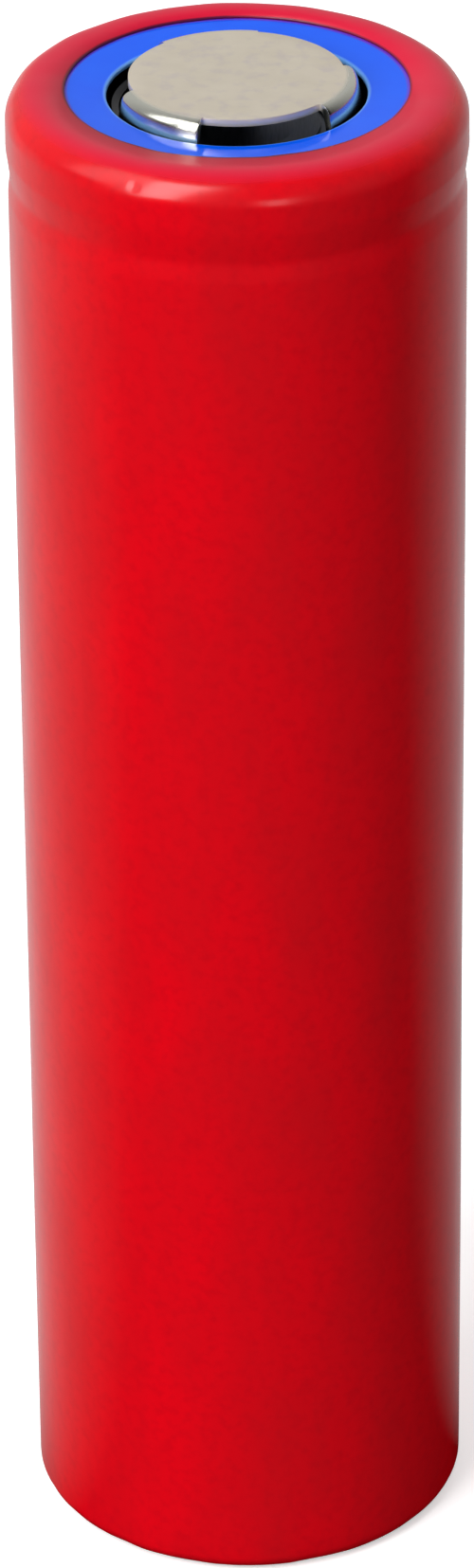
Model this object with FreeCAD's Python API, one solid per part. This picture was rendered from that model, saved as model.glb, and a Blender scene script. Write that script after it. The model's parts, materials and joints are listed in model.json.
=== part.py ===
"""Cylindrical lithium-ion cell of the 18650 size, as the separate pieces that it comes apart into.

Millimetres. +Z runs from the negative base to the positive terminal, and the origin is the centre
of the negative contact face, which the cell stands on. Sections are drawn as (radius, height)
corners and turned about Z.
"""
import FreeCAD
import Part
import math
import os

Vec = FreeCAD.Vector
UP = Vec(0, 0, 1)

# ---------------------------------------------------------------- driving dimensions

# Whole cell
cell_height = 65.3  # contact face to the top of the terminal
cell_diameter = 18.2  # over the film, on the straight body
touch = 0.02  # air left between curved faces that nest
seat_gap = 0.1  # air left where a part drops in from above

# Steel can: a drawn cup, grooved under the lid and rolled in over it
can_wall = 0.25
base_bend = 0.35  # inside radius of the base corner
pad_inset = 1.7  # contact pad's edge, in from the can's side
pad_step = 0.3  # width of the step from the pad up to the margin around it
groove_gap = 1.0  # height of the groove's mouth
groove_depth = 1.3
groove_bend = 0.15  # inside radius of the groove's two shoulders
groove_round = 0.45  # radius of the groove's floor
crimp_bend = 0.9  # inside radius of the rolled rim
crimp_reach = 1.7  # rolled lip's edge, in from the can's side

# Film sleeve, shrunk on from base to rim
film_wall = 0.10
film_shoulder = 1.15  # inside radius over the rim
film_dip = 0.09  # how far it sinks into the groove
film_dip_half = 0.8  # half the height of that dip
film_dip_bend = 1.6  # how softly it curves in and out of the dip
film_rim_from = 1.2  # height above the groove's middle where the rim's full width is reached
film_rim_rise = 0.08  # how far it stands proud round the rim
film_overlap = 1.12  # how far it covers the insulating washer
film_pad_gap = 0.1  # bare margin between the contact pad's step and the film's lower edge

# Insulating washer on the rolled rim
washer_wall = 0.25
washer_gap = 0.2  # round the foot of the terminal

# Positive terminal: a drawn cap with three vent windows
terminal_stand = 0.45  # above the film's top face
terminal_radius = 4.75
cap_wall = 0.30
cap_draft = 0.2  # how much wider the cap is at its foot
cap_edge_bend = 0.3
cap_foot_bend = 0.2
window_count = 3
window_width = 4.4
window_depth = 0.95  # in from the terminal's side
window_sill = 0.12  # left standing above the flange
first_window_deg = 281.5

# Lid stack under the cap flange
ptc_wall = 0.25
vent_wall = 0.25
vent_dish_in = 0.5  # dish's edge, in from the spacer's bore
vent_middle_radius = 2.3  # flat middle that meets the tear disc
vent_score_radius = 3.4
vent_score_width = 0.2
vent_score_depth = 0.12
spacer_wall = 0.25
spacer_bore_inset = 2.2  # in from the stack's edge
tear_disc_wall = 0.20
tear_ring_radius = 1.3
tear_ring_width = 0.2
tear_ring_depth = 0.1
tear_hole_radius = 0.6
tear_holes_on = 3.5  # distance of the holes from the middle
tear_hole_count = 6
filter_wall = 0.35
filter_drop = 0.8
filter_hole_radius = 0.8
filter_hole_count = 4
filter_holes_on = 3.4
first_filter_hole_deg = 45.0  # clear of the tab's weld
sheet_bend = 0.2  # inside radius of the bends in these discs

# Gasket between the stack and the can
gasket_wall = 0.78
gasket_lip = 0.30
gasket_floor = 0.30
gasket_lip_reach = 0.35  # past the can's rolled lip
gasket_skirt = 1.1  # below the top of the bead
gasket_skirt_wall = 0.7

# Discs at the ends of the winding
upper_disc_rim_gap = 0.25
upper_disc_wall = 0.30
upper_disc_gap = 0.2  # below the bead
upper_disc_hole_radius = 1.1
upper_disc_hole_count = 3
first_upper_disc_hole_deg = 180.0  # clear of the tab's slot
lower_disc_wall = 0.30
lower_disc_rim_gap = 0.45
lower_disc_bore = 2.1

# Winding: two electrodes and two separators, rolled together
core_radius = 1.95
separator_wall = 0.02
anode_foil_wall = 0.02
cathode_foil_wall = 0.025
coat_wall = 0.07
layer_gap = 0.008
winding_gap = 0.06  # between the finished roll and the can
end_tape_wall = 0.04
end_tape_inset = 2.0  # in from each end of the roll
end_tape_lead = 0.9  # reach back over the last turn, in half turns
end_tape_tail_deg = 24.0  # reach on along the turn below
anode_inset = 0.5  # electrode edges, in from the separators' edges
cathode_inset = 1.0
anode_start = 1.0  # half turns from the start of the roll
cathode_start = 2.0
anode_cover = 0.2  # anode's coating past the end of the cathode it covers, in half turns
separator_lead = 0.6  # separators past the anode at each end, in half turns

# Tabs and their tapes
tab_wall = coat_wall  # a tab fills the gap that the coating leaves
tab_width = 4.0
bare_width = 7.0  # uncoated strip of foil under a tab
tab_bend = 0.1  # inside radius where a tab turns over
tab_depth_in_roll = 48.0
slot_gap = 0.3
tape_gap = 0.15
tab_past_centre = 1.6

# Centre pin: a rolled tube with an open seam
pin_wall = 0.25
pin_gap = 0.1
pin_seam = 0.35
pin_below_disc = 0.25
pin_taper = 0.3  # length of the taper at each end
pin_taper_in = 0.15

# ---------------------------------------------------------------- sizes that follow

film_radius = cell_diameter / 2
can_radius = film_radius - film_wall - touch
can_bore = can_radius - can_wall
pad_radius = can_radius - pad_inset
margin_rise = film_wall  # so that the film's lower edge lies flush with the pad
margin_radius = pad_radius + pad_step

film_top = cell_height - terminal_stand
washer_top = film_top - film_wall
can_top = washer_top - washer_wall
film_rim_radius = film_radius + film_rim_rise

cap_flange_top = can_top - can_wall - gasket_lip
ptc_top = cap_flange_top - cap_wall
vent_top = ptc_top - ptc_wall
spacer_top = vent_top - vent_wall
tear_disc_top = spacer_top - spacer_wall
filter_top = tear_disc_top - tear_disc_wall
stack_foot = filter_top - filter_wall
bead_top = stack_foot - gasket_floor
groove_middle = bead_top - can_wall - groove_gap / 2
bead_foot = groove_middle - groove_gap / 2 - can_wall
bead_bore = can_radius - groove_depth - can_wall

stack_radius = can_bore - gasket_wall - touch
gasket_skirt_radius = bead_bore - seat_gap
gasket_bore = gasket_skirt_radius - gasket_skirt_wall
spacer_bore = stack_radius - spacer_bore_inset
cap_foot_radius = terminal_radius + cap_draft
washer_bore = cap_foot_radius + washer_gap
washer_radius = film_rim_radius - film_wall - film_shoulder

filter_foot = filter_top - filter_drop - filter_wall
upper_disc_top = bead_foot - upper_disc_gap
roll_top = upper_disc_top - upper_disc_wall
floor_top = can_wall
margin_top = floor_top + margin_rise
lower_disc_foot = max(margin_top, floor_top + tab_wall)  # it lies on the margin and clears the tab
lower_disc_top = lower_disc_foot + lower_disc_wall
roll_foot = lower_disc_top

# Offsets of each layer from the start of a turn
separator_a_at = 0.0
anode_at = separator_a_at + separator_wall + layer_gap
anode_wall = 2 * coat_wall + anode_foil_wall
separator_b_at = anode_at + anode_wall + layer_gap
cathode_at = separator_b_at + separator_wall + layer_gap
cathode_wall = 2 * coat_wall + cathode_foil_wall
pitch = cathode_at + cathode_wall + layer_gap
wrap_at = separator_b_at + separator_wall  # outside of a turn that has no cathode

# The last half turn that fits in the can, counted from 0
roll_radius = can_bore - winding_gap - end_tape_wall - layer_gap
last_half_turn = math.floor(2 * (roll_radius - core_radius - wrap_at - pitch / 4) / pitch)


# ---------------------------------------------------------------- drawing helpers


def polar(radius, degrees, height=0.0):
    turn = math.radians(degrees)
    return Vec(radius * math.cos(turn), radius * math.sin(turn), height)


def outline(corners):
    """Face inside (radius, height, bend radius) corners: straight runs joined by tangent arcs."""
    points = [Vec(r, 0, z) for r, z, _ in corners]
    arcs, enters, leaves = [], [], []
    for i, (here, (_, _, bend)) in enumerate(zip(points, corners)):
        back = (points[i - 1] - here).normalize()
        on = (points[(i + 1) % len(points)] - here).normalize()
        half = back.getAngle(on) / 2
        reach = bend / math.tan(half)
        enters.append(here + back * reach)
        leaves.append(here + on * reach)
        middle = here + (back + on).normalize() * (bend / math.sin(half) - bend) if bend else None
        arcs.append(middle and Part.Arc(enters[i], middle, leaves[i]).toShape())
    edges = []
    for i, arc in enumerate(arcs):
        if (leaves[i - 1] - enters[i]).Length > 1e-6:
            edges.append(Part.LineSegment(leaves[i - 1], enters[i]).toShape())
        if arc:
            edges.append(arc)
    return Part.Face(Part.Wire(edges))


def turned(corners):
    return outline(corners).revolve(Vec(0, 0, 0), UP, 360)


def sheet_corners(path, wall):
    """Outline of a sheet that lies to the left of a path. Each bend is the sheet's inside radius."""
    points = [(r, z) for r, z, _ in path]
    runs = [(b[0] - a[0], b[1] - a[1]) for a, b in zip(points, points[1:])]
    runs = [(x / math.hypot(x, y), y / math.hypot(x, y)) for x, y in runs]
    near, far = [], []
    for i, (r, z, bend) in enumerate(path):
        before = runs[max(i - 1, 0)]
        after = runs[min(i, len(runs) - 1)]
        left = (-before[1] - after[1], before[0] + after[0])
        share = 1 + before[0] * after[0] + before[1] * after[1]
        turns_left = before[0] * after[1] - before[1] * after[0] > 0
        inside, outside = (bend, bend + wall) if bend else (0, 0)
        near.append((r, z, outside if turns_left else inside))
        far.append((r + wall * left[0] / share, z + wall * left[1] / share,
                    inside if turns_left else outside))
    return near + far[::-1]


def pressed(path, wall):
    """A sheet part turned about Z, from the path of one of its faces."""
    return turned(sheet_corners(path, wall))


def disc(radius, foot, top):
    return Part.makeCylinder(radius, top - foot, Vec(0, 0, foot))


def washer(bore, radius, foot, top):
    return disc(radius, foot, top).cut(disc(bore, foot, top))


def groove_ring(radius, width, foot, top):
    """Ring to cut a narrow round groove with."""
    return washer(radius - width / 2, radius + width / 2, foot, top)


def round_pegs(radius, count, on_radius, foot, top, first_deg=0.0):
    """Pegs to cut evenly spaced holes with."""
    places = [polar(on_radius, first_deg + 360 * n / count, foot) for n in range(count)]
    return [Part.makeCylinder(radius, top - foot, place) for place in places]


def turned_box(reach_in, reach_out, width, foot, top, degrees):
    """A box whose length runs outward from Z, turned to an angle."""
    box = Part.makeBox(reach_out - reach_in, width, top - foot, Vec(reach_in, -width / 2, foot))
    box.rotate(Vec(0, 0, 0), UP, degrees)
    return box


# ---------------------------------------------------------------- outside of the cell


def steel_can():
    groove_foot = groove_middle - groove_gap / 2
    groove_head = groove_middle + groove_gap / 2
    groove_floor = can_radius - groove_depth
    return pressed([
        (0, 0, 0),
        (pad_radius, 0, base_bend),
        (margin_radius, margin_rise, base_bend),
        (can_radius, margin_rise, base_bend),
        (can_radius, groove_foot, groove_bend),
        (groove_floor, groove_foot, groove_round),
        (groove_floor, groove_head, groove_round),
        (can_radius, groove_head, groove_bend),
        (can_radius, can_top, crimp_bend),
        (can_radius - crimp_reach, can_top, 0),
    ], can_wall)


def shrink_sleeve():
    neck = film_radius - film_dip
    return pressed([
        (margin_radius + film_pad_gap, 0, 0),
        (film_radius, 0, base_bend + can_wall),
        (film_radius, groove_middle - film_dip_half, film_dip_bend),
        (neck, groove_middle, film_dip_bend),
        (film_rim_radius, groove_middle + film_rim_from, film_dip_bend),
        (film_rim_radius, film_top, film_shoulder),
        (washer_radius - film_overlap, film_top, 0),
    ], film_wall)


def insulating_washer():
    return washer(washer_bore, washer_radius, can_top, washer_top)


def terminal_cap():
    cap = pressed([
        (stack_radius, cap_flange_top, 0),
        (cap_foot_radius, cap_flange_top, cap_foot_bend),
        (terminal_radius, cell_height, cap_edge_bend),
        (0, cell_height, 0),
    ], cap_wall)
    sill = cap_flange_top + window_sill
    above = cell_height + cap_wall
    keep = disc(terminal_radius - window_depth, sill, above)
    windows = [turned_box(0, cap_foot_radius + cap_foot_bend, window_width, sill, above,
                          first_window_deg + 360 * n / window_count).cut(keep)
               for n in range(window_count)]
    return cap.cut(windows)


# ---------------------------------------------------------------- lid stack


def ptc_ring():
    return washer(terminal_radius, stack_radius, ptc_top - ptc_wall, ptc_top)


def vent_disc():
    """Upper safety disc: dished down to meet the tear disc, with a round score to burst along."""
    dish_radius = spacer_bore - vent_dish_in
    dish_top = vent_top - spacer_wall
    slope = spacer_wall / (dish_radius - vent_middle_radius)
    score_foot = dish_top + slope * (vent_score_radius - vent_middle_radius) - vent_score_depth
    sheet = pressed([
        (stack_radius, vent_top, 0),
        (dish_radius, vent_top, sheet_bend),
        (vent_middle_radius, dish_top, sheet_bend),
        (0, dish_top, 0),
    ], vent_wall)
    return sheet.cut(groove_ring(vent_score_radius, vent_score_width, score_foot, vent_top))


def vent_spacer():
    return washer(spacer_bore, stack_radius, spacer_top - spacer_wall, spacer_top)


def tear_disc():
    """Lower safety disc: its middle, inside a thin ring, tears free and opens the circuit."""
    foot = tear_disc_top - tear_disc_wall
    thin = groove_ring(tear_ring_radius, tear_ring_width, foot, foot + tear_ring_depth)
    holes = round_pegs(tear_hole_radius, tear_hole_count, tear_holes_on, foot, tear_disc_top)
    return disc(stack_radius, foot, tear_disc_top).cut([thin] + holes)


def filter_plate():
    """Lowest disc of the lid: the positive tab is welded under its sunken middle."""
    dish_radius = gasket_bore - slot_gap - 2 * filter_wall
    dish_top = filter_top - filter_drop
    sheet = pressed([
        (stack_radius, filter_top, 0),
        (dish_radius + filter_wall, filter_top, sheet_bend),
        (dish_radius, dish_top, sheet_bend),
        (0, dish_top, 0),
    ], filter_wall)
    holes = round_pegs(filter_hole_radius, filter_hole_count, filter_holes_on,
                       filter_foot, filter_top, first_filter_hole_deg)
    return sheet.cut(holes)


def gasket():
    side = can_bore - touch
    skirt_foot = bead_top - gasket_skirt
    lip_edge = can_radius - crimp_reach - gasket_lip_reach
    return turned([
        (lip_edge, can_top - can_wall, 0),
        (side, can_top - can_wall, crimp_bend + touch),
        (side, bead_top, groove_bend + touch),
        (gasket_skirt_radius, bead_top, touch),
        (gasket_skirt_radius, skirt_foot, 0),
        (gasket_bore, skirt_foot, 0),
        (gasket_bore, stack_foot, 0),
        (stack_radius + touch, stack_foot, 0),
        (stack_radius + touch, cap_flange_top, 0),
        (lip_edge, cap_flange_top, 0),
    ])


# ---------------------------------------------------------------- winding
#
# The roll is a two-centre spiral: half circles about two points a quarter of the pitch either side
# of Z. A place along it is a count of half turns, so 2.5 is one turn and a quarter in.


def half_turn(place, at_end=False):
    """Which half circle a place lies on: the one that starts there, or the one that ends there."""
    return math.ceil(place) - 1 if at_end else math.floor(place)


def winding_middle(half):
    return Vec(-pitch / 4 if half % 2 == 0 else pitch / 4, 0, 0)


def winding_radius(half, offset):
    return core_radius + half * pitch / 2 + offset


def winding_point(place, half, offset, height):
    spoke = polar(winding_radius(half, offset), 180 * place, height)
    return winding_middle(half) + spoke


def winding_arcs(start, end, offset, height):
    arcs = []
    for half in range(half_turn(start), half_turn(end, at_end=True) + 1):
        enter, leave = max(start, half), min(end, half + 1)
        places = (enter, (enter + leave) / 2, leave)
        arcs.append(Part.Arc(*(winding_point(p, half, offset, height) for p in places)).toShape())
    return arcs


def wound(offset, wall, start, end, foot, top):
    """A sheet that follows the roll from one place to another."""
    inner = winding_arcs(start, end, offset, foot)
    outer = winding_arcs(start, end, offset + wall, foot)
    ends = []
    for place, half in ((start, half_turn(start)), (end, half_turn(end, at_end=True))):
        span = (winding_point(place, half, offset + depth, foot) for depth in (0, wall))
        ends.append(Part.LineSegment(*span).toShape())
    section = Part.Face(Part.Wire(inner + [ends[1]] + outer[::-1] + [ends[0]]))
    return section.extrude(UP * (top - foot))


def share_of_half_turn(width, place, offset):
    return width / (math.pi * winding_radius(half_turn(place), offset))


# The negative tab is at the roll's end, at -Y, on the last half turn there with one to spare. The
# cathode stops a whole turn short of the anode's coating, and its tab is halfway along it, at +Y.
negative_tab_place = 2 * math.floor((last_half_turn - 2) / 2) + 1.5
negative_tab_at = anode_at + coat_wall + anode_foil_wall
negative_bare = share_of_half_turn(bare_width, negative_tab_place, negative_tab_at) / 2
negative_tab_radius = winding_radius(half_turn(negative_tab_place), negative_tab_at)
anode_coat_end = negative_tab_place - negative_bare
anode_end = negative_tab_place + negative_bare
cathode_end = anode_coat_end - anode_cover - 2

positive_tab_place = 2 * math.floor(cathode_end / 4) + 0.5
positive_tab_at = cathode_at + coat_wall + cathode_foil_wall
positive_bare = share_of_half_turn(bare_width, positive_tab_place, positive_tab_at) / 2
positive_tab_radius = winding_radius(half_turn(positive_tab_place), positive_tab_at)

cathode_foot, cathode_top = roll_foot + cathode_inset, roll_top - cathode_inset
anode_foot, anode_top = roll_foot + anode_inset, roll_top - anode_inset
separator_start, separator_end = anode_start - separator_lead, anode_end + separator_lead


def separator(offset):
    return wound(offset, separator_wall, separator_start, separator_end, roll_foot, roll_top)


def cathode_foil():
    return wound(cathode_at + coat_wall, cathode_foil_wall, cathode_start, cathode_end,
                 cathode_foot, cathode_top)


def cathode_coating():
    """Both faces of the foil, with a bare strip left for the tab."""
    spans = ((cathode_start, positive_tab_place - positive_bare),
             (positive_tab_place + positive_bare, cathode_end))
    faces = (cathode_at, positive_tab_at)
    coats = [wound(at, coat_wall, start, end, cathode_foot, cathode_top)
             for at in faces for start, end in spans]
    return Part.makeCompound(coats)


def anode_foil():
    return wound(anode_at + coat_wall, anode_foil_wall, anode_start, anode_end,
                 anode_foot, anode_top)


def anode_coating():
    """Both faces of the foil, stopping short of the bare end that carries the tab."""
    coats = [wound(at, coat_wall, anode_start, anode_coat_end, anode_foot, anode_top)
             for at in (anode_at, negative_tab_at)]
    return Part.makeCompound(coats)


def end_tape():
    """Holds the roll shut: over the last half turn, down the step at its end, onto the turn below."""
    foot = roll_foot + end_tape_inset
    last = half_turn(separator_end, at_end=True)
    at = wrap_at + layer_gap
    edge = winding_point(separator_end, last, at, foot)
    middle = winding_middle(last - 2)
    low = winding_radius(last - 2, at)
    # A tangent from the roll's edge meets the turn below at this angle
    spoke = edge - middle - UP * foot
    landing = math.degrees(math.atan2(spoke.y, spoke.x) + math.acos(low / spoke.Length))
    leaving = 180 * separator_end % 360
    landing = leaving + (landing - leaving) % 360

    def side(depth):
        run = winding_arcs(separator_end - end_tape_lead, separator_end, at + depth, foot)
        if depth:
            bend = [edge + polar(depth, turn) for turn in (leaving, (leaving + landing) / 2, landing)]
            run.append(Part.Arc(*bend).toShape())
        touchdown = middle + polar(low + depth, landing, foot)
        run.append(Part.LineSegment(edge + polar(depth, landing), touchdown).toShape())
        turns = (landing, landing + end_tape_tail_deg / 2, landing + end_tape_tail_deg)
        tail = [middle + polar(low + depth, turn, foot) for turn in turns]
        return run + [Part.Arc(*tail).toShape()]

    inner, outer = side(0), side(end_tape_wall)
    ends = [Part.LineSegment(inner[n].Vertexes[n].Point, outer[n].Vertexes[n].Point).toShape()
            for n in (0, -1)]
    section = Part.Face(Part.Wire(inner + [ends[1]] + outer[::-1] + [ends[0]]))
    return section.extrude(UP * (roll_top - roll_foot - 2 * end_tape_inset))


# ---------------------------------------------------------------- tabs, tapes, discs and pin


def bent_strip(corners, middle_x):
    """A flat strip, bent along (distance from Z, height) corners in the YZ plane."""
    strip = outline(sheet_corners(corners, tab_wall)).extrude(Vec(0, tab_width, 0))
    strip.rotate(Vec(0, 0, 0), UP, 90)
    strip.translate(Vec(tab_width / 2 + middle_x, 0, 0))
    return strip


def across_tab(radius):
    """Where a circle about Z crosses the edge of a tab, measured along the tab."""
    half_width = tab_width / 2 + pitch / 4
    return math.sqrt(radius ** 2 - half_width ** 2)


def curved_section(radius, middle, height, degrees):
    """Cross-section of a tab where it lies in the roll."""
    half = math.degrees(tab_width / 2 / radius)
    spans = [[middle + polar(r, degrees + turn, height) for turn in (-half, 0, half)]
             for r in (radius, radius + tab_wall)]
    arcs = [Part.Arc(*span).toShape() for span in spans]
    ends = [Part.LineSegment(spans[0][n], spans[1][n]).toShape() for n in (0, 2)]
    return Part.Wire([arcs[0], ends[1], arcs[1], ends[0]])


def flat_section(radius, middle, height, side):
    """The same tab once it has straightened, outside the roll."""
    inner, outer = side * radius, side * (radius + tab_wall)
    left, right = middle.x - tab_width / 2, middle.x + tab_width / 2
    if side > 0:
        left, right = right, left
    corners = [Vec(left, inner, height), Vec(right, inner, height),
               Vec(right, outer, height), Vec(left, outer, height)]
    return Part.makePolygon(corners + corners[:1])


def tab(radius, middle, roll_edge, in_roll, free, side, bends):
    """In the roll it is curved, then it straightens and bends over to its weld."""
    degrees = 90 * side
    curved = Part.Face(curved_section(radius, middle, in_roll, degrees))
    curved = curved.extrude(UP * (roll_edge - in_roll))
    straight = Part.makeLoft([curved_section(radius, middle, roll_edge, degrees),
                              flat_section(radius, middle, free, side)], True, True)
    strip = bent_strip(bends, -side * middle.x)
    if side < 0:
        strip.rotate(Vec(0, 0, 0), UP, 180)
    return curved.fuse([straight, strip]).removeSplitter()


def positive_tab():
    """Aluminium strip from the cathode's bare window up to the underside of the filter plate."""
    straight_at = upper_disc_top + tab_wall
    bends = [(positive_tab_radius + tab_wall, straight_at, 0),
             (positive_tab_radius + tab_wall, filter_foot, tab_bend),
             (-tab_past_centre, filter_foot, 0)]
    middle = winding_middle(half_turn(positive_tab_place))
    return tab(positive_tab_radius, middle, roll_top, roll_top - tab_depth_in_roll,
               straight_at, 1, bends)


def negative_tab():
    """Nickel strip from the anode's bare end, under the lower disc, to the middle of the can's floor."""
    straight_at = margin_top + tab_bend + tab_wall
    bends = [(-tab_past_centre, floor_top, 0),
             (across_tab(pad_radius) - pad_step, floor_top, tab_bend),
             (across_tab(margin_radius) - pad_step, margin_top, tab_bend),
             (negative_tab_radius + tab_wall, margin_top, tab_bend),
             (negative_tab_radius + tab_wall, straight_at, 0)]
    middle = winding_middle(half_turn(negative_tab_place))
    return tab(negative_tab_radius, middle, roll_foot, roll_foot + tab_depth_in_roll,
               straight_at, -1, bends)


def tab_tape(place, offset, bare, foot, top):
    """Tape over the bare foil behind a tab."""
    gap = share_of_half_turn(tape_gap, place, offset)
    return wound(offset, coat_wall, place - bare + gap, place + bare - gap, foot, top)


def upper_disc():
    """Insulator over the roll, slotted for the tab and drilled for gas."""
    slot = turned_box(across_tab(positive_tab_radius) - slot_gap,
                      positive_tab_radius + tab_wall + slot_gap,
                      tab_width + 2 * slot_gap, roll_top, upper_disc_top, 90)
    holes = round_pegs(upper_disc_hole_radius, upper_disc_hole_count, positive_tab_radius,
                       roll_top, upper_disc_top, first_upper_disc_hole_deg)
    blank = washer(core_radius, can_bore - upper_disc_rim_gap, roll_top, upper_disc_top)
    return blank.cut([slot] + holes)


def lower_disc():
    """Insulator under the roll, notched where the negative tab turns in."""
    notch = turned_box(across_tab(pad_radius) - pad_step - slot_gap, can_radius,
                       tab_width + 2 * slot_gap, lower_disc_foot, lower_disc_top, -90)
    blank = washer(lower_disc_bore, can_bore - lower_disc_rim_gap, lower_disc_foot, lower_disc_top)
    return blank.cut(notch)


def centre_pin():
    """Split tube that keeps the middle of the roll open for gas, tapered at both ends."""
    radius = core_radius - pitch / 4 - pin_gap
    foot = floor_top + tab_wall
    top = roll_top - pin_below_disc
    tube = turned([
        (radius - pin_wall, foot, 0),
        (radius - pin_taper_in, foot, 0),
        (radius, foot + pin_taper, 0),
        (radius, top - pin_taper, 0),
        (radius - pin_taper_in, top, 0),
        (radius - pin_wall, top, 0),
    ])
    return tube.cut(turned_box(0, 2 * radius, pin_seam, foot, top, 0))


# ---------------------------------------------------------------- the pieces


def pieces():
    return {
        "shrink_sleeve": shrink_sleeve(),
        "insulating_washer": insulating_washer(),
        "terminal_cap": terminal_cap(),
        "ptc_ring": ptc_ring(),
        "vent_disc": vent_disc(),
        "vent_spacer": vent_spacer(),
        "tear_disc": tear_disc(),
        "filter_plate": filter_plate(),
        "crimp_gasket": gasket(),
        "steel_can": steel_can(),
        "upper_insulator": upper_disc(),
        "positive_tab": positive_tab(),
        "positive_tab_tape": tab_tape(positive_tab_place, cathode_at, positive_bare,
                                      cathode_foot, cathode_top),
        "cathode_foil": cathode_foil(),
        "cathode_coating": cathode_coating(),
        "separator_inner": separator(separator_a_at),
        "separator_outer": separator(separator_b_at),
        "anode_foil": anode_foil(),
        "anode_coating": anode_coating(),
        "negative_tab": negative_tab(),
        "negative_tab_tape": tab_tape(negative_tab_place, anode_at, negative_bare,
                                      anode_foot, anode_top),
        "roll_end_tape": end_tape(),
        "lower_insulator": lower_disc(),
        "centre_pin": centre_pin(),
    }


os.makedirs("parts", exist_ok=True)
for name, shape in pieces().items():
    shape.exportStep(f"parts/{name}.step")
    solids = shape.Solids
    print(f"{name}: {len(solids)} solid(s), valid {shape.isValid()}, volume {shape.Volume:.2f} mm3")
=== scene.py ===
"""Looks of a cylindrical lithium-ion cell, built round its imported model.

Metres, with +Z to the positive terminal. Sizes are named in millimetres and scaled by MM.
"""
import json
import math

import bmesh
import bpy
from mathutils import Matrix, Vector, noise


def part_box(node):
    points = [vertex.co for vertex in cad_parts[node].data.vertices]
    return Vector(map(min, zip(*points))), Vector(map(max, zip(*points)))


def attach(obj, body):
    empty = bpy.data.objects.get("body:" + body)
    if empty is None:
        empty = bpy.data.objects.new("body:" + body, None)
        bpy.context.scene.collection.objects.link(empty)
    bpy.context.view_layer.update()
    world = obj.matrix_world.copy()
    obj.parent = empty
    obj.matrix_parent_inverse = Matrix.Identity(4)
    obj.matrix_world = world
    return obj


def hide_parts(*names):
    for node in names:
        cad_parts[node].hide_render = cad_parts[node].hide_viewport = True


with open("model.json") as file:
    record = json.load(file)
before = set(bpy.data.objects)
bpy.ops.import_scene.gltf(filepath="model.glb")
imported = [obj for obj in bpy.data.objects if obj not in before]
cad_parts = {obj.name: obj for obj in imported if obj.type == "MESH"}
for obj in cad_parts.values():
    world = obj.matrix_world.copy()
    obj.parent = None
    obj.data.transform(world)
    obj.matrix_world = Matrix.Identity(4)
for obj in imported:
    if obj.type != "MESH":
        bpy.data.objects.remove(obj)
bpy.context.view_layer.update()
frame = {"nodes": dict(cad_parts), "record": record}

MM = 0.001
seed_step = 17.3  # keeps one unevenness clear of the next in the same noise

# ---------------------------------------------------------------- sizes, in millimetres


def box_mm(node):
    """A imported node's lowest and highest corners."""
    low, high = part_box(node)
    return low / MM, high / MM


mounts = {mount["name"]: mount for mount in frame["record"]["mounts"]}
film_low, film_high = box_mm("shrink_sleeve")
washer_low, washer_high = box_mm("insulating_washer")
cap_low, cap_high = box_mm("terminal_cap")

body_radius = mounts["cell_body"]["dims"]["r_mm"]
relief_room = 0.006  # how far the film's lumps may stand past its plain surface
facet_room = 0.002
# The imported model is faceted, so its box is narrower across the facets than across the corners.
rim_radius = min(-film_low.x, -film_low.y, film_high.x, film_high.y) - relief_room - facet_room
film_top = film_high.z
cell_height = cap_high.z

# Film, as it lies on the can
film_wall = 0.10
film_base_bend = 0.70
film_shoulder = 1.25  # radius over the rim
film_lip_radius = 7.68  # the film's edge underneath
film_opening = 6.81  # the film's edge on top
groove_middle = film_top - 3.55
dip_depth = 0.09  # how far the film sinks into the can's groove
dip_half = 0.8  # half the height of that dip
dip_bend = 1.6
rim_from = 1.2  # height above the groove's middle where the rim's full width is reached
opening_shade_width = 0.12  # width of the line of painted shade along the film's edge at the opening
duller_and_sheen_from, duller_and_sheen_full = 0.30, 0.02  # below the film's top, where it is thicker and duller, and painted crimson as sheen
film_steps = 360  # faces round the piece

# Washer
washer_bore = 5.15
washer_edge_round = 0.10
washer_seat_radius = 7.0  # inward of this it is free to sag towards the cap
washer_sag = 0.16
washer_inset = 0.01  # its outer edge, in from its seat
edge_highlight_from, edge_highlight_to = 0.03, 0.16  # out from the bore, where a pale line of painted highlight lies
film_reflection_full, film_reflection_from = 0.02, 0.16  # in from the film's opening, where a violet painted reflection and shade of the red film lies
washer_steps = 256

# Cap
cap_wall = 0.30
cap_foot_radius = 4.98
cap_top_radius = 4.70
cap_edge_bend = 0.50
cap_flat_radius = 4.32
cap_foot_bend = 0.22
window_half_deg = 33.0
window_middles_deg = (285.0, 45.0, 165.0)
window_floor_radius = 4.28
window_sill = 0.12  # left standing above the flange
flange_inset = 0.02  # the flange's outer edge, in from its seat
cap_dish = 0.012  # how far the flat top sinks in its middle
cap_cut_round = 0.035  # rounding of the sheared edges
cap_net_radii = (3.6, 3.2, 2.6, 2.0, 1.4, 0.8, 0.3)  # rings of the flat top's mesh
burnished_from, burnished_full = -0.05, 0.15  # out from the flat top's edge
foot_shade_full, foot_shade_from = 0.20, 0.02  # below the washer's foot, where the cap is painted near-black as shade
cap_steps = 192

# ---------------------------------------------------------------- mesh helpers


def new_piece(name, mesh):
    piece = bpy.data.objects.new(name, mesh)
    bpy.context.scene.collection.objects.link(piece)
    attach(piece, "root")
    return piece


def polar(radius, angle, height):
    """A point in metres, from millimetres and an angle about Z."""
    return radius * math.cos(angle) * MM, radius * math.sin(angle) * MM, height * MM


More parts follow.
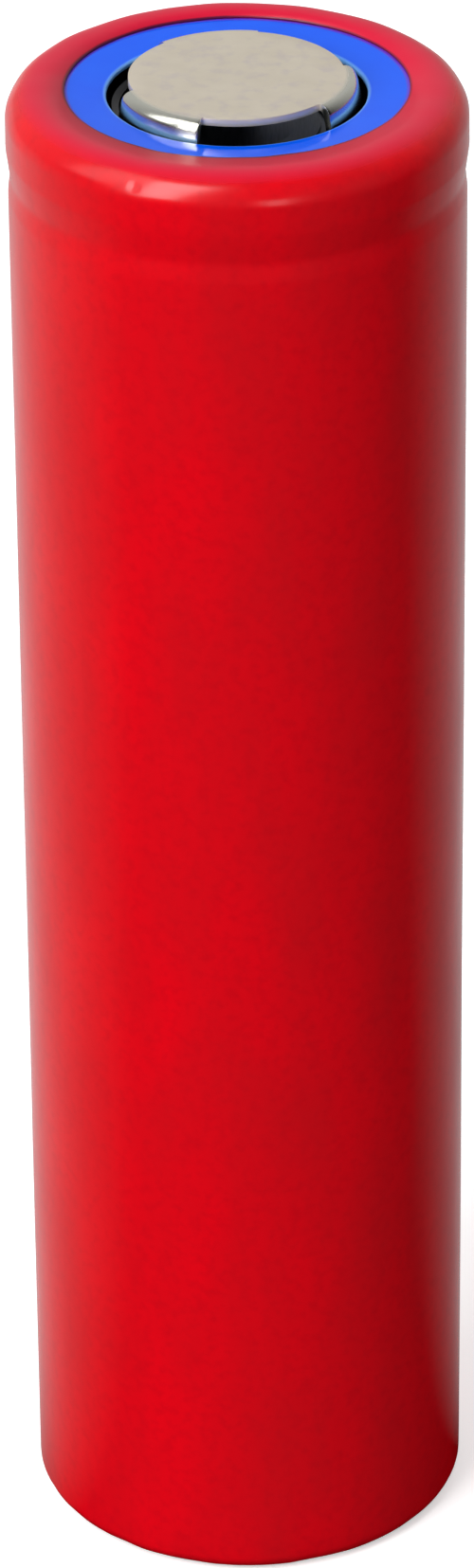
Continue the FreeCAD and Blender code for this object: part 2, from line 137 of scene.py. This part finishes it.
def rounded_path(corners, arc_step, run_step):
    """Points along (radius, height, bend) corners: straight runs joined by tangent arcs."""
    points = [Vector((r, z)) for r, z, _ in corners]
    path = [points[0]]

    def run_to(end):
        start = path[-1]
        count = max(1, round((end - start).length / run_step))
        path.extend(start.lerp(end, n / count) for n in range(1, count + 1))

    for before, here, after, (_, _, bend) in zip(points, points[1:], points[2:], corners[1:]):
        back, on = (before - here).normalized(), (after - here).normalized()
        half = back.angle(on) / 2
        reach = bend / math.tan(half)
        centre = here + (back + on).normalized() * bend / math.sin(half)
        run_to(here + back * reach)
        spoke = path[-1] - centre
        sweep = (here + on * reach - centre).angle_signed(spoke)
        count = max(2, math.ceil(abs(sweep) * bend / arc_step))
        for n in range(1, count + 1):
            path.append(centre + Matrix.Rotation(sweep * n / count, 2) @ spoke)
    run_to(points[-1])
    return path


def path_normals(path):
    """Unit normals to the left of a path."""
    normals = []
    for i in range(len(path)):
        along = path[min(i + 1, len(path) - 1)] - path[max(i - 1, 0)]
        normals.append(Vector((-along.y, along.x)).normalized())
    return normals


def turned_mesh(name, loops, around, place):
    """A closed section turned about Z. place(index, angle) gives each (radius, height) in mm."""
    shape = bmesh.new()
    rings = []
    for step in range(around):
        angle = 2 * math.pi * step / around
        ring = []
        for index in range(loops):
            radius, height = place(index, angle)
            ring.append(shape.verts.new(polar(radius, angle, height)))
        rings.append(ring)
    for ring, following in zip(rings, rings[1:] + rings[:1]):
        for index in range(loops):
            beyond = (index + 1) % loops
            shape.faces.new((ring[index], following[index], following[beyond], ring[beyond]))
    bmesh.ops.recalc_face_normals(shape, faces=shape.faces)
    mesh = bpy.data.meshes.new(name)
    shape.to_mesh(mesh)
    shape.free()
    mesh.shade_smooth()
    return mesh


def ripple(angle, height, size, waves, tall, seed):
    """Smooth unevenness that joins up round the cell: about waves bumps round it, each tall mm
    high, that stand up to size either way."""
    spread = waves / (2 * math.pi)
    layer = height / tall + seed * seed_step
    return size * noise.noise(Vector((math.cos(angle) * spread, math.sin(angle) * spread, layer)))


def bump(value, middle, half):
    """1 at the middle, falling smoothly to 0 at half away on either side."""
    share = min(1.0, abs(value - middle) / half)
    return (1 - share * share) ** 2


def angle_between(angle, degrees):
    """The smaller angle, in radians, between one in radians and one in degrees."""
    return abs((angle - math.radians(degrees) + math.pi) % (2 * math.pi) - math.pi)


# ---------------------------------------------------------------- materials


def linear(text):
    """sRGB hex to the linear colour that shaders work in."""
    parts = [int(text[n:n + 2], 16) / 255 for n in (1, 3, 5)]
    return tuple(c / 12.92 if c <= 0.04045 else ((c + 0.055) / 1.055) ** 2.4 for c in parts) + (1.0,)


def per(size_mm):
    """Pattern scale for features of a real size: the pattern's space is in metres."""
    return 1 / (size_mm * MM)


def add(tree, kind, inputs=None, **settings):
    """Adds a node with its settings. An input takes a plain value, a node's output, or a node."""
    made = tree.nodes.new("ShaderNode" + kind)
    for key, value in settings.items():
        setattr(made, key, value)
    for key, value in (inputs or {}).items():
        socket = made.inputs[key] if isinstance(key, int) else next(
            s for s in made.inputs if s.name == key and s.enabled)
        if isinstance(value, bpy.types.Node):
            value = next(s for s in value.outputs if s.enabled)
        if isinstance(value, bpy.types.NodeSocket):
            tree.links.new(value, socket)
        else:
            socket.default_value = value
    return made


def start_material(name):
    """A new material, its empty node tree, and the place on the piece, in metres."""
    material = bpy.data.materials.new(name)
    material.use_nodes = True
    material.node_tree.nodes.clear()
    return material, material.node_tree, add(material.node_tree, "TexCoord").outputs["Object"]


def finish_material(material, shader):
    add(material.node_tree, "OutputMaterial", {"Surface": shader})
    return material


def off_axis(tree, place):
    """Distance from the cell's axis, in metres."""
    flat = add(tree, "VectorMath", {0: place, 1: (1, 1, 0)}, operation="MULTIPLY")
    return add(tree, "VectorMath", {0: flat}, operation="LENGTH")


noise_low, noise_high = 0.3, 0.7  # nearly all of a noise's values lie between these


def shrunk_pvc_film():
    """PVC tubing shrunk on hot. To the eye: saturated red with a satin gloss, a little cloudy where
    it thinned, with a fine skin that breaks up its highlights. Over the end it shrank most and
    grew thicker, so there it is duller, and its crimson tint there is a painted sheen. The trimmed
    edge of its opening is painted dark, as painted shade."""
    material, tree, place = start_material("shrunk_red_pvc_film")
    drawn = add(tree, "Mapping", {"Vector": place, "Scale": (1, 1, 0.35)})
    cloud = add(tree, "TexNoise", {"Vector": drawn, "Scale": per(2.4), "Detail": 5.0})
    speck = add(tree, "TexNoise", {"Vector": place, "Scale": per(0.45), "Detail": 3.0})
    skin = add(tree, "TexNoise", {"Vector": place, "Scale": per(0.5), "Detail": 2.0})
    thin = add(tree, "MapRange", {"Value": cloud, "From Min": noise_low, "From Max": noise_high})
    body = add(tree, "Mix", {"Factor": thin, "A": linear("#E80014"), "B": linear("#D80012")},
               data_type="RGBA")
    fleck = add(tree, "MapRange", {"Value": speck, "From Min": 0.45, "From Max": 0.75, "To Max": 0.35})
    plain = add(tree, "Mix", {"Factor": fleck, "A": body, "B": linear("#C40014")}, data_type="RGBA")
    radius = off_axis(tree, place)
    # Painted shade: a dark purple line along the film's edge at the opening.
    opening_shade = add(tree, "MapRange", {"Value": radius, "From Min": film_opening * MM,
                                 "From Max": (film_opening + opening_shade_width) * MM,
                                 "To Min": 0.9, "To Max": 0.0})
    height = add(tree, "SeparateXYZ", {"Vector": place}).outputs["Z"]
    top = add(tree, "MapRange", {"Value": height, "From Min": (film_top - duller_and_sheen_from) * MM,
                                 "From Max": (film_top - duller_and_sheen_full) * MM})
    # Painted sheen: the flat top is tinted crimson to stand for the pink reflection it shows.
    crimson_sheen_top = add(tree, "Mix", {"Factor": top, "A": plain, "B": linear("#DA0034")},
                   data_type="RGBA")
    colour = add(tree, "Mix", {"Factor": opening_shade, "A": crimson_sheen_top, "B": linear("#4A0634")},
                 data_type="RGBA")
    satin = add(tree, "MapRange", {"Value": cloud, "From Min": noise_low, "From Max": noise_high,
                                   "To Min": 0.20, "To Max": 0.27})
    gloss = add(tree, "Mix", {"Factor": top, "A": satin, "B": 0.38})
    fine = add(tree, "Bump", {"Height": skin, "Distance": 0.0022 * MM, "Strength": 1.0})
    pulled = add(tree, "Bump", {"Height": cloud, "Distance": 0.005 * MM, "Strength": 1.0,
                                "Normal": fine})
    return finish_material(material, add(tree, "BsdfPrincipled", {
        "Base Color": colour, "Roughness": gloss, "Normal": pulled, "Specular IOR Level": 0.45,
        "IOR": 1.53}))


def punched_polyester():
    """Punched polyester sheet. To the eye: deep glossy blue that mirrors the cap, with a pale painted
    highlight along its inner edge and a violet painted reflection and shade where the red film's
    edge lies over it."""
    material, tree, place = start_material("punched_blue_polyester")
    cloud = add(tree, "TexNoise", {"Vector": place, "Scale": per(1.3), "Detail": 4.0})
    skin = add(tree, "TexNoise", {"Vector": place, "Scale": per(0.9), "Detail": 1.0})
    body = add(tree, "Mix", {"Factor": cloud, "A": linear("#0064FF"), "B": linear("#005AFA")},
               data_type="RGBA")
    radius = off_axis(tree, place)
    # Painted highlight: a pale blue line along the bore's edge.
    edge = add(tree, "MapRange", {"Value": radius, "From Min": (washer_bore + edge_highlight_from) * MM,
                                  "From Max": (washer_bore + edge_highlight_to) * MM,
                                  "To Min": 1.0, "To Max": 0.0})
    edge_highlighted = add(tree, "Mix", {"Factor": edge, "A": body, "B": linear("#6FB0FF")},
                   data_type="RGBA")
    # Painted reflection and shade: a violet line where the washer would mirror the red film's edge.
    film_edge_reflection = add(tree, "MapRange", {"Value": radius, "From Min": (film_opening - film_reflection_from) * MM,
                                    "From Max": (film_opening - film_reflection_full) * MM, "To Max": 0.85})
    colour = add(tree, "Mix", {"Factor": film_edge_reflection, "A": edge_highlighted, "B": linear("#7A2CC4")},
                 data_type="RGBA")
    gloss = add(tree, "MapRange", {"Value": cloud, "From Min": noise_low, "From Max": noise_high,
                                   "To Min": 0.05, "To Max": 0.10})
    wave = add(tree, "Bump", {"Height": skin, "Distance": 0.0015 * MM, "Strength": 1.0})
    return finish_material(material, add(tree, "BsdfPrincipled", {
        "Base Color": colour, "Roughness": gloss, "Normal": wave, "Specular IOR Level": 0.25,
        "IOR": 1.58}))


def plated_cap():
    """Matte nickel plate on drawn steel. To the eye: warm, chalky grey on the flat top, bright where
    the drawing punch burnished the bends and the walls, and painted near-black as shade down at the
    flange."""
    material, tree, place = start_material("matte_nickel_plate")
    blotch = add(tree, "TexNoise", {"Vector": place, "Scale": per(1.2), "Detail": 6.0})
    tint = add(tree, "TexNoise", {"Vector": place, "Scale": per(0.7), "Detail": 3.0})
    grit = add(tree, "TexNoise", {"Vector": place, "Scale": per(0.12), "Detail": 2.0})
    body = add(tree, "Mix", {"Factor": blotch, "A": linear("#F6EBD8"), "B": linear("#E6DBC8")},
               data_type="RGBA")
    blush = add(tree, "MapRange", {"Value": tint, "From Min": 0.5, "From Max": 0.7, "To Max": 0.5})
    matte = add(tree, "Mix", {"Factor": blush, "A": body, "B": linear("#DCD0CE")}, data_type="RGBA")
    radius = off_axis(tree, place)
    burnish = add(tree, "MapRange", {"Value": radius,
                                     "From Min": (cap_flat_radius + burnished_from) * MM,
                                     "From Max": (cap_flat_radius + burnished_full) * MM})
    bright = add(tree, "Mix", {"Factor": burnish, "A": matte, "B": linear("#F2F2E6")},
                 data_type="RGBA")
    height = add(tree, "SeparateXYZ", {"Vector": place}).outputs["Z"]
    # Painted shade: the cap turns near-black below the washer, where it lies in shade.
    foot = add(tree, "MapRange", {"Value": height, "From Min": (washer_low.z - foot_shade_full) * MM,
                                  "From Max": (washer_low.z - foot_shade_from) * MM,
                                  "To Min": 1.0, "To Max": 0.0})
    colour = add(tree, "Mix", {"Factor": foot, "A": bright, "B": linear("#2C2C2F")},
                 data_type="RGBA")
    chalk = add(tree, "MapRange", {"Value": burnish, "To Min": 0.62, "To Max": 1.0})
    dull = add(tree, "MapRange", {"Value": blotch, "From Min": noise_low, "From Max": noise_high,
                                  "To Min": 0.36, "To Max": 0.44})
    gloss = add(tree, "Mix", {"Factor": burnish, "A": dull, "B": 0.21})
    grain = add(tree, "Bump", {"Height": grit, "Distance": 0.0015 * MM, "Strength": 1.0})
    return finish_material(material, add(tree, "BsdfPrincipled", {
        "Base Color": colour, "Metallic": chalk, "Roughness": gloss, "Normal": grain}))


def drawn_can():
    """Nickel-plated deep-drawn steel. To the eye: cool bright metal with rings left by the die on
    its base, light scuffs, and cloudy plating."""
    material, tree, place = start_material("nickel_plated_drawn_steel")
    blotch = add(tree, "TexNoise", {"Vector": place, "Scale": per(1.8), "Detail": 5.0})
    along = add(tree, "Mapping", {"Vector": place, "Scale": (0.1, 1, 1)})
    scuff = add(tree, "TexNoise", {"Vector": along, "Scale": per(0.14), "Detail": 2.0})
    radius = off_axis(tree, place)
    # Die rings are about 0.05 mm apart. They are drawn three times as coarse, and deeper than they
    # are, so that they show.
    ring = add(tree, "TexNoise", {"W": radius, "Scale": per(0.15), "Detail": 2.0},
               noise_dimensions="1D")
    body = add(tree, "Mix", {"Factor": blotch, "A": linear("#D6D3CC"), "B": linear("#C2BEB5")},
               data_type="RGBA")
    worn = add(tree, "MapRange", {"Value": scuff, "From Min": 0.58, "From Max": 0.75, "To Max": 0.4})
    colour = add(tree, "Mix", {"Factor": worn, "A": body, "B": linear("#8F8A80")}, data_type="RGBA")
    gloss = add(tree, "MapRange", {"Value": blotch, "From Min": noise_low, "From Max": noise_high,
                                   "To Min": 0.22, "To Max": 0.34})
    lines = add(tree, "Bump", {"Height": ring, "Distance": 0.02 * MM, "Strength": 1.0})
    skin = add(tree, "Bump", {"Height": scuff, "Distance": 0.0015 * MM, "Strength": 1.0,
                              "Normal": lines})
    return finish_material(material, add(tree, "BsdfPrincipled", {
        "Base Color": colour, "Metallic": 1.0, "Roughness": gloss, "Normal": skin}))


def inner_finish(name, light, dark, grain_mm, stretch, depth_mm, roughness, **fixed):
    """A hidden layer's finish: one grain, pulled along the way the sheet was rolled or stretched,
    drives its colour, its relief and its gloss together."""
    material, tree, place = start_material(name)
    rolled = add(tree, "Mapping", {"Vector": place, "Scale": stretch})
    grain = add(tree, "TexNoise", {"Vector": rolled, "Scale": per(grain_mm), "Detail": 4.0})
    share = add(tree, "MapRange", {"Value": grain, "From Min": noise_low, "From Max": noise_high})
    colour = add(tree, "Mix", {"Factor": share, "A": linear(dark), "B": linear(light)},
                 data_type="RGBA")
    gloss = add(tree, "MapRange", {"Value": grain, "From Min": noise_low, "From Max": noise_high,
                                   "To Min": roughness[0], "To Max": roughness[1]})
    relief = add(tree, "Bump", {"Height": grain, "Distance": depth_mm * MM, "Strength": 1.0})
    inputs = {"Base Color": colour, "Roughness": gloss, "Normal": relief}
    inputs.update({key.replace("_", " "): value for key, value in fixed.items()})
    return finish_material(material, add(tree, "BsdfPrincipled", inputs))


# Which way a grain runs: evenly, along the height, or across the cell
even, up_long, across_long = (1, 1, 1), (1, 1, 0.06), (1, 0.06, 1)
materials = {
    "red_shrink_film": shrunk_pvc_film(),
    "blue_insulator": punched_polyester(),
    "nickel_plated_cap": plated_cap(),
    "nickel_plated_steel": drawn_can(),
    # Carbon-filled polyethylene, pressed between foils: near-black and finely grained.
    "ptc_composite": inner_finish("carbon_filled_polyethylene", "#26262A", "#131315", 0.15, even,
                                  0.003, (0.45, 0.62)),
    # Soft aluminium, rolled, pressed and dulled in its seat: dark silver with straight lines.
    "vent_aluminium": inner_finish("rolled_soft_aluminium", "#74767A", "#505256", 0.08, across_long,
                                   0.0012, (0.28, 0.42), Metallic=1.0),
    # Polypropylene sheet, punched: milky, soft, and a little see-through.
    "clear_insulator": inner_finish("punched_milky_polypropylene", "#E9E8E0", "#DCDACF", 0.5, even,
                                    0.003, (0.38, 0.5), Subsurface_Weight=0.2,
                                    Subsurface_Scale=0.0004),
    # Polypropylene, moulded: satin black with the mould's faint texture.
    "gasket_plastic": inner_finish("moulded_black_polypropylene", "#1C1C20", "#0F0F12", 0.2, even,
                                   0.003, (0.35, 0.5)),
    # Polyimide tape: amber and glossy, with streaks along the roll.
    "tape_film": inner_finish("amber_polyimide_tape", "#D9A03A", "#B97E22", 0.5, up_long, 0.001,
                              (0.15, 0.28)),
    # Lithium oxide powder in binder, rolled flat: dead matte black.
    "cathode_black": inner_finish("calendered_oxide_coating", "#1B1B1D", "#0D0D0E", 0.06, even,
                                  0.004, (0.75, 0.9)),
    # Graphite flakes in binder, rolled flat: dark grey with a soft sheen.
    "anode_graphite": inner_finish("calendered_graphite_coating", "#3A3A3E", "#242427", 0.06, even,
                                   0.003, (0.42, 0.58), Metallic=0.25),
    # Microporous polyethylene, stretched: white and silky, streaked along the stretch.
    "separator_white": inner_finish("stretched_microporous_polyethylene", "#F6F6F4", "#E8E8E6",
                                    0.25, up_long, 0.001, (0.4, 0.55), Sheen_Weight=0.15),
    # Copper foil, plated onto a drum: salmon pink with faint drum lines.
    "copper_foil": inner_finish("electrodeposited_copper_foil", "#E39A72", "#CC7F58", 0.12, up_long,
                                0.001, (0.22, 0.36), Metallic=1.0),
    # Hard aluminium foil, rolled: bright, lined along its length.
    "aluminium_strip": inner_finish("rolled_hard_aluminium", "#DEDFE2", "#C6C8CC", 0.1, up_long,
                                    0.001, (0.15, 0.28), Metallic=1.0),
    # Nickel strip, rolled: slightly warm grey, lined along the strip.
    "nickel_strip": inner_finish("rolled_nickel_strip", "#CFC9BD", "#B5AFA3", 0.1, up_long, 0.0015,
                                 (0.2, 0.34), Metallic=1.0),
    # Stainless tube, rolled up from sheet and drawn: neutral grey, lined up its length.
    "pin_steel": inner_finish("drawn_stainless_tube", "#B9BABC", "#9C9DA0", 0.1, up_long, 0.002,
                              (0.25, 0.4), Metallic=1.0),
}


def dress(piece, slot):
    piece.data.materials.clear()
    piece.data.materials.append(materials[slot])


def dress_frame():
    """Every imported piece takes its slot's finish."""
    for part in frame["record"]["subparts"]:
        dress(frame["nodes"][part["node"]], part["material_slot"])


# ---------------------------------------------------------------- film sleeve

crease_degs = (246.0, 66.0)  # fold lines left from when the tubing lay flat
crease_high, crease_half = 0.014, 0.9
nick_deg, nick_below_top = 243.5, 0.62
nick_deep, nick_half_wide, nick_half_tall = 0.07, 0.16, 0.24
shoulder_below_top, shoulder_half = 0.5, 1.6  # where the film gathered over the rim
shoulder_ease = 0.014  # leaves the lumps room inside the rim's true size
foot_half = 1.1
# Unevenness: its size in mm, how many bumps go round the cell, how tall one is in mm, and a seed
gathers = (0.030, 34, 1.6, 1)
slack = (0.018, 9, 16.0, 2)
pleats = (0.050, 46, 2.5, 3)
opening_waver = (0.05, 12, 1, 5)
opening_fray = (0.02, 40, 1, 6)
lip_waver = (0.14, 18, 1, 7)
opening_fade, lip_fade = 9, 6  # how many points in from each edge its unevenness ends


def film_relief(angle, radius, height):
    """How far the film stands off its true surface, in mm, outward."""
    shoulder = bump(height, film_top - shoulder_below_top, shoulder_half)
    foot = bump(height, 0.0, foot_half)
    body = 1 - max(shoulder, foot)
    crease = max(bump(angle_between(angle, degrees) * body_radius, 0, crease_half)
                 for degrees in crease_degs)
    nick = bump(angle_between(angle, nick_deg) * body_radius, 0, nick_half_wide) * bump(
        height, film_top - nick_below_top, nick_half_tall)
    relief = shoulder * (ripple(angle, height, *gathers) - shoulder_ease)
    relief += body * (ripple(angle, height, *slack) + crease_high * crease)
    relief += foot * ripple(angle, radius, *pleats)
    return min(relief - nick_deep * nick, relief_room)


def film_sleeve():
    """The film's outer face is drawn as a path from underneath to the opening, and its inner face is
    the same path set in by the wall. Turned together, they make one closed sleeve."""
    corners = [
        (film_lip_radius, 0.0, 0),
        (body_radius, 0.0, film_base_bend),
        (body_radius, groove_middle - dip_half, dip_bend),
        (body_radius - dip_depth, groove_middle, dip_bend),
        (rim_radius, groove_middle + rim_from, dip_bend),
        (rim_radius, film_top, film_shoulder),
        (film_opening, film_top, 0),
    ]
    outer = rounded_path(corners, arc_step=0.10, run_step=0.9)
    normals = path_normals(outer)
    count = len(outer)

    def place(index, angle):
        inner = index >= count
        at = 2 * count - 1 - index if inner else index
        point, normal = outer[at], normals[at]
        depth = film_wall if inner else -film_relief(angle, point.x, point.y)
        spot = point + normal * depth
        opening = bump(at, count - 1, opening_fade) * (
            ripple(angle, 0, *opening_waver) + ripple(angle, 0, *opening_fray))
        lip = bump(at, 0, lip_fade) * ripple(angle, 0, *lip_waver)
        return spot.x + opening + lip, max(spot.y, 0.0)

    mesh = turned_mesh("red_film_sleeve", 2 * count, film_steps, place)
    sleeve = new_piece("red_film_sleeve", mesh)
    dress(sleeve, "red_shrink_film")
    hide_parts("shrink_sleeve")


# ---------------------------------------------------------------- washer


sag_waver = (0.15, 3, 1, 8)  # its size is a share of the sag
punch_burr = (0.012, 60, 1, 9)
burr_reach = 0.06  # share of the washer's width
section_seam = 0.01  # between the section's first and last point, under its middle


def washer():
    """A flat punched ring whose free inner part sags a little and unevenly."""
    edge = washer_edge_round
    inner, outer = washer_bore, washer_high.x - washer_inset
    middle = (inner + outer) / 2
    foot, top = washer_low.z, washer_high.z
    corners = [(middle, foot, 0), (inner, foot, edge), (inner, top, edge),
               (outer, top, edge), (outer, foot, edge), (middle + section_seam, foot, 0)]
    path = rounded_path(corners, arc_step=0.025, run_step=0.35)

    def place(index, angle):
        point = path[index]
        share = (point.x - inner) / (outer - inner)
        free = min(1.0, max(0.0, 1 - (point.x - inner) / (washer_seat_radius - inner)))
        sag = -washer_sag * free * (1 + ripple(angle, 0, *sag_waver))
        burr = bump(share, 0.0, burr_reach) * ripple(angle, 0, *punch_burr)
        return point.x + burr, point.y + sag

    mesh = turned_mesh("blue_washer", len(path), washer_steps, place)
    ring = new_piece("blue_washer", mesh)
    dress(ring, "blue_insulator")
    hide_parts("insulating_washer")


# ---------------------------------------------------------------- terminal cap


def in_window(degrees):
    return any(angle_between(math.radians(degrees), middle) < math.radians(window_half_deg)
               for middle in window_middles_deg)


def cap_shell():
    """Outer face of the drawn cap as a polar net, with its windows left out, then given its wall."""
    flange_top = cap_low.z + cap_wall
    corners = [
        (cap_high.x - flange_inset, flange_top, 0),
        (cap_foot_radius, flange_top, cap_foot_bend),
        (cap_top_radius, cell_height, cap_edge_bend),
        (window_floor_radius, cell_height, 0),
    ]
    path = rounded_path(corners, arc_step=0.07, run_step=0.22)
    path.extend(Vector((radius, cell_height)) for radius in cap_net_radii)
    shape = bmesh.new()
    rings = []
    for step in range(cap_steps):
        angle = 2 * math.pi * step / cap_steps
        ring = []
        for point in path:
            dish = cap_dish * bump(point.x, 0.0, cap_flat_radius) if point.y == cell_height else 0
            ring.append(shape.verts.new(polar(point.x, angle, point.y - dish)))
        rings.append(ring)
    centre = shape.verts.new((0, 0, (cell_height - cap_dish) * MM))
    sill = flange_top + window_sill
    for step in range(cap_steps):
        ring, following = rings[step], rings[(step + 1) % cap_steps]
        middle_deg = 360 * (step + 0.5) / cap_steps
        for index in range(len(path) - 1):
            low, high = path[index], path[index + 1]
            beyond_floor = high.x >= window_floor_radius - 1e-6
            if in_window(middle_deg) and beyond_floor and low.y > sill:
                continue
            shape.faces.new((ring[index], following[index], following[index + 1], ring[index + 1]))
        shape.faces.new((ring[-1], following[-1], centre))
    loose = [v for v in shape.verts if not v.link_faces]
    bmesh.ops.delete(shape, geom=loose, context="VERTS")
    bmesh.ops.recalc_face_normals(shape, faces=shape.faces)
    if shape.faces[-1].normal.z < 0:
        bmesh.ops.reverse_faces(shape, faces=shape.faces)
    mesh = bpy.data.meshes.new("plated_cap")
    shape.to_mesh(mesh)
    shape.free()
    mesh.shade_smooth()
    cap = new_piece("plated_cap", mesh)
    wall = cap.modifiers.new("wall", "SOLIDIFY")
    wall.thickness = cap_wall * MM
    wall.offset = -1
    edge = cap.modifiers.new("edge", "BEVEL")
    edge.width = cap_cut_round * MM
    edge.segments = 2
    edge.limit_method = "ANGLE"
    edge.angle_limit = math.radians(50)
    dress(cap, "nickel_plated_cap")
    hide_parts("terminal_cap")


# ---------------------------------------------------------------- stage, light and camera


# How the cell mirrors the room: which way is bright, how far towards it the light starts and is
# full, and how bright it gets. Ahead of the camera is +Y.
floor_bright_way, floor_from, floor_full, floor_bright = (-0.16, 0.55, 0), -0.16, 0.56, 0.72
room_bright_way, room_from, room_full, room_bright = (-0.12, 0.75, 0.12), -0.1, 0.6, 0.55
fill_level, fill_overhead = 0.68, 0.42
paper_glow = 0.45
floor_half_side = 3.0  # metres
floor_drop = 0.01  # keeps the floor clear of the cell's foot
lamp_distance = 1.2  # metres


def floor():
    """Pale paper. Its reflection in the cell fades towards the front, as the room's does."""
    shape = bmesh.new()
    bmesh.ops.create_grid(shape, x_segments=8, y_segments=8, size=floor_half_side)
    mesh = bpy.data.meshes.new("floor")
    shape.to_mesh(mesh)
    shape.free()
    ground = bpy.data.objects.new("floor", mesh)
    bpy.context.scene.collection.objects.link(ground)
    material, tree, place = start_material("matte_white_paper")
    ray = add(tree, "LightPath")
    lit = add(tree, "BsdfDiffuse", {"Color": linear("#F4F4F4")})
    glow = add(tree, "Emission", {"Strength": paper_glow})
    paper = add(tree, "AddShader", {0: lit, 1: glow})
    bounce = add(tree, "BsdfDiffuse", {"Color": linear("#7C7C7C")})
    toward = add(tree, "VectorMath", {0: place}, operation="NORMALIZE")
    share = add(tree, "VectorMath", {0: toward, 1: floor_bright_way}, operation="DOT_PRODUCT")
    level = add(tree, "MapRange", {"Value": share, "From Min": floor_from, "From Max": floor_full,
                                   "To Min": 0.0, "To Max": floor_bright})
    mirrored = add(tree, "Emission", {"Strength": level})
    indirect = add(tree, "MixShader", {0: ray.outputs["Is Glossy Ray"], 1: bounce, 2: mirrored})
    both = add(tree, "MixShader", {0: ray.outputs["Is Camera Ray"], 1: indirect, 2: paper})
    mesh.materials.append(finish_material(material, both))
    ground.location.z = -floor_drop * MM


def surroundings():
    """White where the camera looks past the floor, a soft fill that is weaker overhead, and
    reflections that fade towards the front."""
    world = bpy.data.worlds.new("studio")
    world.use_nodes = True
    bpy.context.scene.world = world
    tree = world.node_tree
    tree.nodes.clear()
    ray = add(tree, "LightPath")
    way = add(tree, "TexCoord").outputs["Generated"]
    share = add(tree, "VectorMath", {0: way, 1: room_bright_way}, operation="DOT_PRODUCT")
    level = add(tree, "MapRange", {"Value": share, "From Min": room_from, "From Max": room_full,
                                   "To Min": 0.0, "To Max": room_bright})
    mirrored = add(tree, "Background", {"Strength": level})
    up = add(tree, "SeparateXYZ", {"Vector": way}).outputs["Z"]
    soft = add(tree, "MapRange", {"Value": up, "To Min": fill_level, "To Max": fill_overhead})
    fill = add(tree, "Background", {"Strength": soft})
    clear = add(tree, "Background", {"Strength": 1.0})
    indirect = add(tree, "MixShader", {0: ray.outputs["Is Glossy Ray"], 1: fill, 2: mirrored})
    both = add(tree, "MixShader", {0: ray.outputs["Is Camera Ray"], 1: indirect, 2: clear})
    add(tree, "OutputWorld", {"Surface": both})


def soft_box(name, azimuth, elevation, wide_deg, tall_deg, radiance, mirrored=True):
    """Area lamp aimed at the cell's top. Azimuth 0 is in front, at -Y, and positive is to the
    right. Its width and height are the angles that they fill as seen from the cell."""
    turn, rise = math.radians(azimuth), math.radians(elevation)
    way = Vector((math.sin(turn) * math.cos(rise), -math.cos(turn) * math.cos(rise), math.sin(rise)))
    light = bpy.data.lights.new(name, "AREA")
    light.shape = "RECTANGLE"
    light.size = 2 * lamp_distance * math.tan(math.radians(wide_deg / 2))
    light.size_y = 2 * lamp_distance * math.tan(math.radians(tall_deg / 2))
    light.energy = radiance * math.pi * light.size * light.size_y
    lamp = bpy.data.objects.new(name, light)
    bpy.context.scene.collection.objects.link(lamp)
    lamp.location = Vector((0, 0, cell_height * MM)) + way * lamp_distance
    lamp.rotation_euler = way.to_track_quat("Z", "Y").to_euler()
    lamp.visible_camera = False
    lamp.visible_glossy = mirrored


def lights():
    soft_box("window_left", azimuth=-41, elevation=36, wide_deg=23, tall_deg=60, radiance=6.2)
    soft_box("window_side", azimuth=-78, elevation=40, wide_deg=26, tall_deg=50, radiance=1.5)
    soft_box("glint_right", azimuth=19, elevation=6, wide_deg=9, tall_deg=18, radiance=2.6)
    soft_box("back_fill", azimuth=165, elevation=25, wide_deg=60, tall_deg=50, radiance=0.6,
             mirrored=False)


camera_place = (0, -0.26985, 0.18499)  # metres
camera_pitch, camera_yaw, camera_roll = 29.338, -0.0572, -0.5711  # degrees
lens_mm, sensor_mm = 171.635, 36.0
near_clip, far_clip = 0.01, 20  # metres


def camera():
    """A long lens 0.31 m from the cell's middle, looking down at about 29 degrees and rolled by
    about half a degree."""
    pitch, yaw, roll = (math.radians(d) for d in (camera_pitch, camera_yaw, camera_roll))
    ahead = Vector((math.sin(yaw) * math.cos(pitch), math.cos(yaw) * math.cos(pitch),
                    -math.sin(pitch)))
    level = Vector((math.cos(yaw), -math.sin(yaw), 0))
    upright = level.cross(ahead)
    right = level * math.cos(roll) + upright * math.sin(roll)
    up = upright * math.cos(roll) - level * math.sin(roll)
    data = bpy.data.cameras.new("camera")
    data.lens = lens_mm
    data.sensor_width = sensor_mm
    data.clip_start, data.clip_end = near_clip, far_clip
    eye = bpy.data.objects.new("camera", data)
    bpy.context.scene.collection.objects.link(eye)
    turn = Matrix((right, up, -ahead)).transposed().to_4x4()
    eye.matrix_world = Matrix.Translation(camera_place) @ turn
    bpy.context.scene.camera = eye


camera()
dress_frame()
film_sleeve()
washer()
cap_shell()
floor()
surroundings()
lights()
bpy.context.scene.view_settings.view_transform = "Standard"
